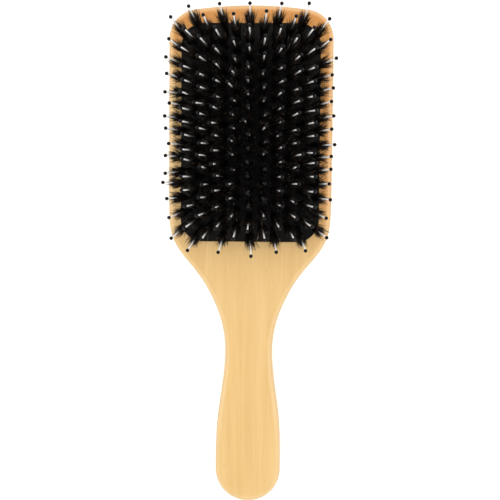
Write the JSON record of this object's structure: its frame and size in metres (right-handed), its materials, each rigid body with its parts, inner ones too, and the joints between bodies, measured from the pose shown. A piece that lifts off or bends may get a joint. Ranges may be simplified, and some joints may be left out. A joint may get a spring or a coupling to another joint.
{
  "type": "paddle hairbrush",
  "caption": "Wooden paddle hairbrush with a sprung air cushion, dark bristle tufts and ball-tipped nylon pins.",
  "frame": {"origin": "middle of the brush's length and width, on the flat wooden back", "axes": "+X across the head, +Y along the brush from handle to head, +Z out of the bristle side"},
  "size_m": [0.0786, 0.24, 0.0445],
  "materials": {
    "beech_wood": "satin varnish",
    "black_rubber": "matt moulded",
    "nylon_pin": "clear white nylon",
    "ball_tip": "gloss black",
    "boar_bristle": "natural bristle, near black",
    "staple_wire": "bright wire"
  },
  "bodies": {
    "paddle": {"wooden_paddle": "beech_wood"},
    "cushion": {"rubber_cushion": "black_rubber"},
    "column_01": {"pins_01": "nylon_pin", "ball_tips_01": "ball_tip", "tufts_01": "boar_bristle", "staples_01": "staple_wire"},
    "column_02": {"pins_02": "nylon_pin", "ball_tips_02": "ball_tip", "tufts_02": "boar_bristle", "staples_02": "staple_wire"},
    "column_03": {"pins_03": "nylon_pin", "ball_tips_03": "ball_tip", "tufts_03": "boar_bristle", "staples_03": "staple_wire"},
    "column_04": {"pins_04": "nylon_pin", "ball_tips_04": "ball_tip", "tufts_04": "boar_bristle", "staples_04": "staple_wire"},
    "column_05": {"pins_05": "nylon_pin", "ball_tips_05": "ball_tip", "tufts_05": "boar_bristle", "staples_05": "staple_wire"},
    "column_06": {"pins_06": "nylon_pin", "ball_tips_06": "ball_tip", "tufts_06": "boar_bristle", "staples_06": "staple_wire"},
    "column_07": {"pins_07": "nylon_pin", "ball_tips_07": "ball_tip", "tufts_07": "boar_bristle", "staples_07": "staple_wire"},
    "column_08": {"pins_08": "nylon_pin", "ball_tips_08": "ball_tip", "tufts_08": "boar_bristle", "staples_08": "staple_wire"},
    "column_09": {"pins_09": "nylon_pin", "ball_tips_09": "ball_tip", "tufts_09": "boar_bristle", "staples_09": "staple_wire"},
    "column_10": {"pins_10": "nylon_pin", "ball_tips_10": "ball_tip", "tufts_10": "boar_bristle", "staples_10": "staple_wire"},
    "column_11": {"pins_11": "nylon_pin", "ball_tips_11": "ball_tip", "tufts_11": "boar_bristle", "staples_11": "staple_wire"}
  },
  "joints": [
    {"name": "cushion_press", "type": "slide", "parent": "paddle", "child": "cushion", "axis": [0, 0, -1], "range_m": [0, 0.003], "stiffness_N_per_m": 2500, "deforming": ["rubber_cushion"]},
    {"name": "lean_01", "type": "hinge", "parent": "cushion", "child": "column_01", "pos_m": [-0.02662, 0.0592, 0.01182], "axis": [0, 1, 0], "range_deg": [-8, 8], "stiffness_Nm_per_rad": 0.6},
    {"name": "lean_02", "type": "hinge", "parent": "cushion", "child": "column_02", "pos_m": [-0.02125, 0.0592, 0.01407], "axis": [0, 1, 0], "range_deg": [-8, 8], "stiffness_Nm_per_rad": 0.6},
    {"name": "lean_03", "type": "hinge", "parent": "cushion", "child": "column_03", "pos_m": [-0.01591, 0.0592, 0.01582], "axis": [0, 1, 0], "range_deg": [-8, 8], "stiffness_Nm_per_rad": 0.6},
    {"name": "lean_04", "type": "hinge", "parent": "cushion", "child": "column_04", "pos_m": [-0.01059, 0.0592, 0.01706], "axis": [0, 1, 0], "range_deg": [-8, 8], "stiffness_Nm_per_rad": 0.6},
    {"name": "lean_05", "type": "hinge", "parent": "cushion", "child": "column_05", "pos_m": [-0.00529, 0.0592, 0.0178], "axis": [0, 1, 0], "range_deg": [-8, 8], "stiffness_Nm_per_rad": 0.6},
    {"name": "lean_06", "type": "hinge", "parent": "cushion", "child": "column_06", "pos_m": [0, 0.0592, 0.01805], "axis": [0, 1, 0], "range_deg": [-8, 8], "stiffness_Nm_per_rad": 0.6},
    {"name": "lean_07", "type": "hinge", "parent": "cushion", "child": "column_07", "pos_m": [0.00529, 0.0592, 0.0178], "axis": [0, 1, 0], "range_deg": [-8, 8], "stiffness_Nm_per_rad": 0.6},
    {"name": "lean_08", "type": "hinge", "parent": "cushion", "child": "column_08", "pos_m": [0.01059, 0.0592, 0.01706], "axis": [0, 1, 0], "range_deg": [-8, 8], "stiffness_Nm_per_rad": 0.6},
    {"name": "lean_09", "type": "hinge", "parent": "cushion", "child": "column_09", "pos_m": [0.01591, 0.0592, 0.01582], "axis": [0, 1, 0], "range_deg": [-8, 8], "stiffness_Nm_per_rad": 0.6},
    {"name": "lean_10", "type": "hinge", "parent": "cushion", "child": "column_10", "pos_m": [0.02125, 0.0592, 0.01407], "axis": [0, 1, 0], "range_deg": [-8, 8], "stiffness_Nm_per_rad": 0.6},
    {"name": "lean_11", "type": "hinge", "parent": "cushion", "child": "column_11", "pos_m": [0.02662, 0.0592, 0.01182], "axis": [0, 1, 0], "range_deg": [-8, 8], "stiffness_Nm_per_rad": 0.6}
  ],
  "couplings": [
    {"joint": "lean_01", "follows": "lean_06", "ratio": 1},
    {"joint": "lean_02", "follows": "lean_06", "ratio": 1},
    {"joint": "lean_03", "follows": "lean_06", "ratio": 1},
    {"joint": "lean_04", "follows": "lean_06", "ratio": 1},
    {"joint": "lean_05", "follows": "lean_06", "ratio": 1},
    {"joint": "lean_07", "follows": "lean_06", "ratio": 1},
    {"joint": "lean_08", "follows": "lean_06", "ratio": 1},
    {"joint": "lean_09", "follows": "lean_06", "ratio": 1},
    {"joint": "lean_10", "follows": "lean_06", "ratio": 1},
    {"joint": "lean_11", "follows": "lean_06", "ratio": 1}
  ]
}
